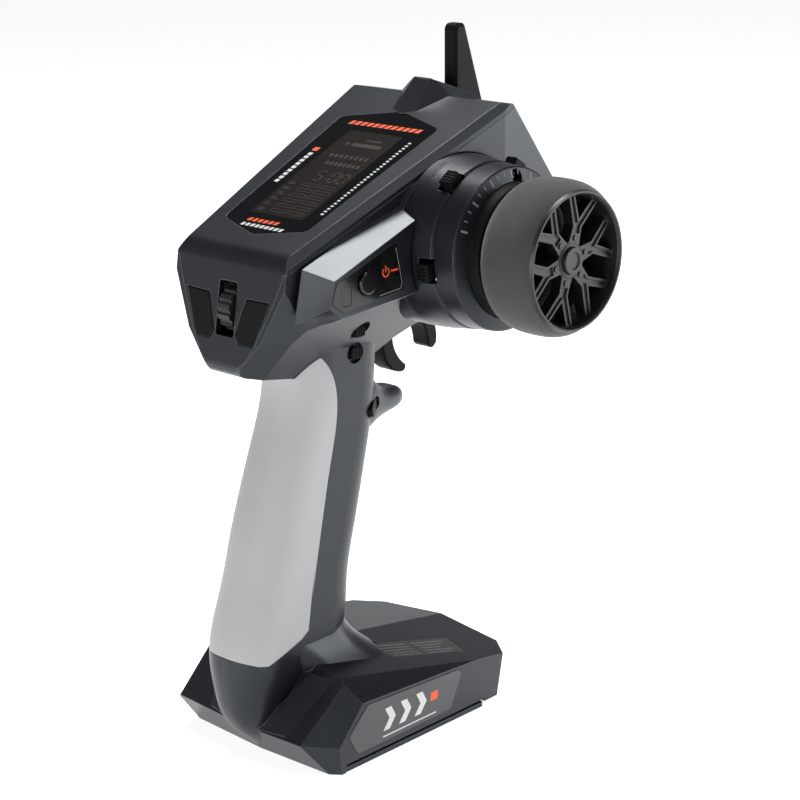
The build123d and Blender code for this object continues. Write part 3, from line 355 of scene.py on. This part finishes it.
def display_graphics():
    """Clock, bars and menu rows of the screen, and the printed marks round it."""
    marks("screen_field", SCREEN, LENS_TOP + INK, [bar(-14.4, -34.8, 14.6, 25.6)],
          "lcd_field")
    shapes = []
    for value, x in (("5", -1.2), ("0", 6.6), ("0", 11.4)):
        shapes += digit(value, x - 2.6, -9.6, 3.4, 6.4, 0.62)
    shapes += [bar(2.2, -8.2, 2.9, -7.5), bar(2.2, -5.4, 2.9, -4.7)]
    # Signal bar and the two rows of blocks under it.
    shapes += [bar(-5.0, 15.2, 10.6, 17.6), bar(-0.6, 19.6, 7.6, 20.4), bar(-8.6, 15.6, -6.6, 17.2)]
    for x in range(8):
        shapes.append(bar(-9.4 + 2.7 * x, 6.6, -7.8 + 2.7 * x, 8.8))
        shapes.append(bar(-7.0 + 2.4 * x, 1.2, -5.4 + 2.4 * x, 3.4))
    # Six outlined rows of the menu, each with a short lead.
    for row in range(6):
        y = -14.2 - 3.7 * row
        shapes += [bar(-12.6, y, -8.6, y + 0.5), bar(-12.6, y + 1.1, -9.8, y + 1.6)]
        for x0, x1 in ((-5.6, 3.0), (4.0, 12.4)):
            shapes += [bar(x0, y, x1, y + 0.3), bar(x0, y + 1.7, x1, y + 2.0),
                       bar(x0, y, x0 + 0.3, y + 2.0), bar(x1 - 0.3, y, x1, y + 2.0)]
    marks("screen_segments", SCREEN, LENS_TOP + 3 * INK, shapes, "lcd_segment")
    # Row of slanted strokes in front of the screen, and a shorter one behind it.
    slants = [[(x, 29.6), (x + 2.3, 29.6), (x + 3.3, 32.2), (x + 1.0, 32.2)]
              for x in [-19.5 + 3.3 * k for k in range(12)]]
    slants += [[(x, -40.4), (x + 1.9, -40.4), (x + 2.6, -38.4), (x + 0.7, -38.4)]
               for x in [-11.0 + 2.9 * k for k in range(6)]]
    slants.append([(-21.0, 8.6), (-18.0, 8.6), (-18.0, 11.2), (-21.0, 11.2)])
    marks("orange_print", SCREEN, LENS_TOP + INK, slants, "print_orange")
    ticks = [bar(19.2 + 0.04 * k, -29.5 + 1.9 * k, 20.6 + 0.04 * k, -28.6 + 1.9 * k)
             for k in range(28)]
    ticks += [bar(-20.6, -14.5 + 2.5 * k, -18.4, -12.8 + 2.5 * k) for k in range(9)]
    ticks += [[(x, -43.6), (x + 1.7, -43.6), (x + 2.3, -41.8), (x + 0.6, -41.8)]
              for x in [-11.6 + 2.6 * k for k in range(9)]]
    marks("white_print", SCREEN, LENS_TOP + INK, ticks, "print_white")


def panel_graphics():
    """Power symbol beside the power button, and a painted highlight: a grey line round the panel's
    front edge.
    """
    symbol = arc((-20.0, 198.0), 1.7, 0.55, 130, 410)
    symbol += [bar(-20.28, 197.9, -19.72, 200.4), bar(-17.2, 197.6, -13.4, 198.4)]
    marks("power_symbol", POWER_FACE, 0.0, symbol, "print_orange")
    # Painted highlight of the panel's stepped front and lower edges, drawn as thin grey strokes.
    lines = [stroke((-14.4, 206.4), (-11.4, 192.6), 0.35), stroke((-11.4, 192.6), (-12.0, 190.4), 0.35),
             stroke((-12.0, 190.4), (-23.5, 189.6), 0.3)]
    marks("panel_edge_highlight", POWER_FACE, 0.0, lines, "grey_print_and_highlight")


def chevron(x):
    """Chevron bar pointing along the badge, its left end at x."""
    low, middle, high = 11.5, 16.6, 21.7
    return [(x, low), (x + 3.6, low), (x + 6.6, middle), (x + 3.6, high), (x, high), (x + 3.0, middle)]


def badge_graphics():
    """Three plain chevrons, a small square and a rule on each side badge of the base."""
    for side, name in ((1, "right"), (-1, "left")):
        face = Face((side * WALL_FOOT, 0, 0), (0, side, 0), (side, 0, -WALL_LEAN))
        bars = [chevron(side * (-24.0 + 9.0 * k)) for k in range(3)]
        marks(f"{name}_badge_bars", face, BADGE_FILM, bars, "print_white")
        middle = side * 5.0
        marks(f"{name}_badge_square", face, BADGE_FILM,
              [bar(middle - 2.0, 15.2, middle + 2.0, 19.2)], "print_orange")
        middle = side * -8.5
        marks(f"{name}_badge_rule", face, BADGE_FILM,
              [bar(middle - 15.5, 8.6, middle + 15.5, 9.2)], "print_white")


def label_graphics():
    """Blank rows of the rating label, in two columns."""
    plan = ((12.0, -3.0), (27.5, -2.0), (36.0, 34.0), (22.0, 38.0))
    corners = [roof_point(x, y) for x, y in plan]

    def spot(across, along):
        near = [corners[0][i] * (1 - across) + corners[1][i] * across for i in (0, 1)]
        far = [corners[3][i] * (1 - across) + corners[2][i] * across for i in (0, 1)]
        return tuple(near[i] * (1 - along) + far[i] * along for i in (0, 1))

    rows = []
    for k, across in enumerate((0.18, 0.36, 0.54, 0.72, 0.88)):
        for low, high in ((0.05, 0.43), (0.50, 0.90 - 0.06 * (k % 3))):
            rows.append([spot(across, low), spot(across + 0.06, low), spot(across + 0.06, high),
                         spot(across, high)])
    marks("label_rows", ROOF, LABEL_FILM, rows, "grey_print_and_highlight")


def roof_point(x, y):
    """Position in the roof's own axes of the point near it at plan position x, y."""
    near_roof = 30.0
    rise = Vector((x, y, near_roof)) - ROOF.origin
    return rise.dot(ROOF.x), rise.dot(ROOF.y)


def ring_graphics():
    """Scale ticks on the dished outer face of the control ring, every third one longer."""
    form = bmesh.new()
    hub = Vector((0, 28.2, 200.9))
    outer, rim_radius, rim_x = 30.4, 31.2, 65.3
    dish = 1.8 / 4.75
    lift = 0.06
    for k in range(-6, 7):
        angle = radians(112 + 7.5 * k)
        out = Vector((0, cos(angle), sin(angle)))
        side = Vector((0, -sin(angle), cos(angle)))
        half, inner = (0.42, 27.6) if k % 3 == 0 else (0.22, 28.8)
        quad = []
        for radius in (inner, outer):
            depth = rim_x + (rim_radius - radius) * dish + lift
            for turn in ((-half, half) if radius == inner else (half, -half)):
                quad.append((hub + out * radius + side * turn + Vector((depth, 0, 0))) * MM)
        form.faces.new([form.verts.new(corner) for corner in quad])
    bmesh.ops.recalc_face_normals(form, faces=form.faces)
    ticks = shape("ring_ticks", form, PAINTS["grey_print_and_highlight"])
    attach(ticks, "frame")


# ------------------------------------------------------------------ foam tyre
def foam_tyre():
    """Open-cell foam tyre: a turned ring whose skin is pitted and slightly uneven."""
    low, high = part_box("foam_tyre")
    hub_y, hub_z = (low[1] + high[1]) / 2, (low[2] + high[2]) / 2
    outer = (high[2] - low[2]) / 2
    x0, x1 = low[0], high[0]
    bore, bore_steps, crown_steps, turns = 0.0259, 7, 58, 420
    profile = []                       # (x, radius) round the section, from the inner bore out
    for k in range(bore_steps):
        profile.append((x0 + 0.0002 + (x1 - x0 - 0.0020) * k / (bore_steps - 1), bore))
    for k in range(crown_steps + 1):
        t = k / crown_steps
        x = x1 - 0.0004 - (x1 - x0 - 0.0008) * t
        edge = abs(2 * t - 1)          # 0 at the middle of the tread, 1 at its sides
        profile.append((x, outer - 0.0001 - (0.0024 * edge ** 5.0 + 0.0010 * edge ** 2)))
    cells = [(sin(12.9898 * i + 78.233 * j) * 43758.5453) % 1.0
             for i in range(turns) for j in range(len(profile))]
    form = bmesh.new()
    rings = []
    for i in range(turns):
        angle = 2 * pi * i / turns
        ring = []
        for j, (x, radius) in enumerate(profile):
            pit = 0.0
            if j >= bore_steps:
                noise = cells[i * len(profile) + j]
                pit = 0.00005 * noise + (0.00022 if noise > 0.975 else 0.0)
            ring.append(form.verts.new((x, hub_y + (radius - pit) * cos(angle),
                                        hub_z + (radius - pit) * sin(angle))))
        rings.append(ring)
    count = len(profile)
    for i in range(turns):
        here, there = rings[i], rings[(i + 1) % turns]
        for j in range(count):
            n = (j + 1) % count
            form.faces.new((here[j], there[j], there[n], here[n]))
    bmesh.ops.recalc_face_normals(form, faces=form.faces)
    tyre = shape("foam_tyre_skin", form, PAINTS["foam"])
    tyre.data.polygons.foreach_set("use_smooth", [True] * len(tyre.data.polygons))
    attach(tyre, "steering_wheel")
    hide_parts("foam_tyre")


make_camera()
make_stage()
PAINTS = make_materials()
dress_nodes(PAINTS)
display_graphics()
panel_graphics()
badge_graphics()
label_graphics()
ring_graphics()
foam_tyre()
